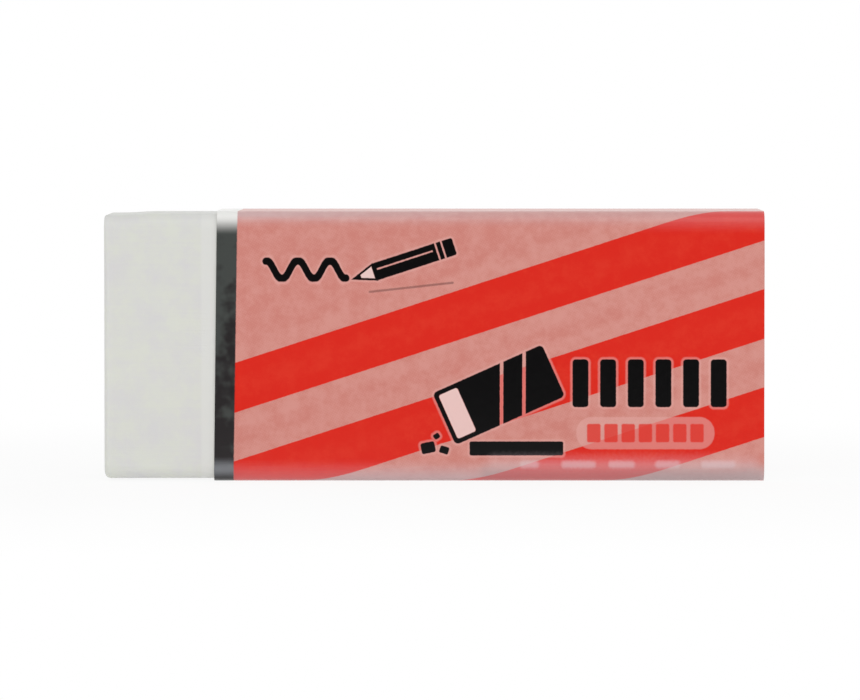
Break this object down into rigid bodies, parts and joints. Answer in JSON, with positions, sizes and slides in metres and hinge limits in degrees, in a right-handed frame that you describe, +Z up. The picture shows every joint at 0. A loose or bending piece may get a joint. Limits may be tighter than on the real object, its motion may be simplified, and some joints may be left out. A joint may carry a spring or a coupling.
{
  "type": "sleeved block eraser",
  "caption": "Rectangular vinyl eraser block in a folded card sleeve that slides along it.",
  "frame": {"origin": "middle of the base of the overall box, on the plane that the long narrow side stands on", "axes": "+X from the bare working end to the sleeved end, +Y from the front panel to the seamed back panel, +Z up"},
  "size_m": [0.043, 0.0116, 0.0176],
  "materials": {
    "vinyl": "satin, smooth, opaque white",
    "printed_card": "gloss-faced print outside, bare white card inside and at the cut edges"
  },
  "bodies": {
    "block": {"eraser_block": "vinyl"},
    "sleeve": {"card_sleeve": "printed_card"}
  },
  "joints": [
    {"name": "sleeve_slide", "type": "slide", "parent": "block", "child": "sleeve", "axis": [1, 0, 0], "range_m": [-0.00725, 0.0365]}
  ]
}
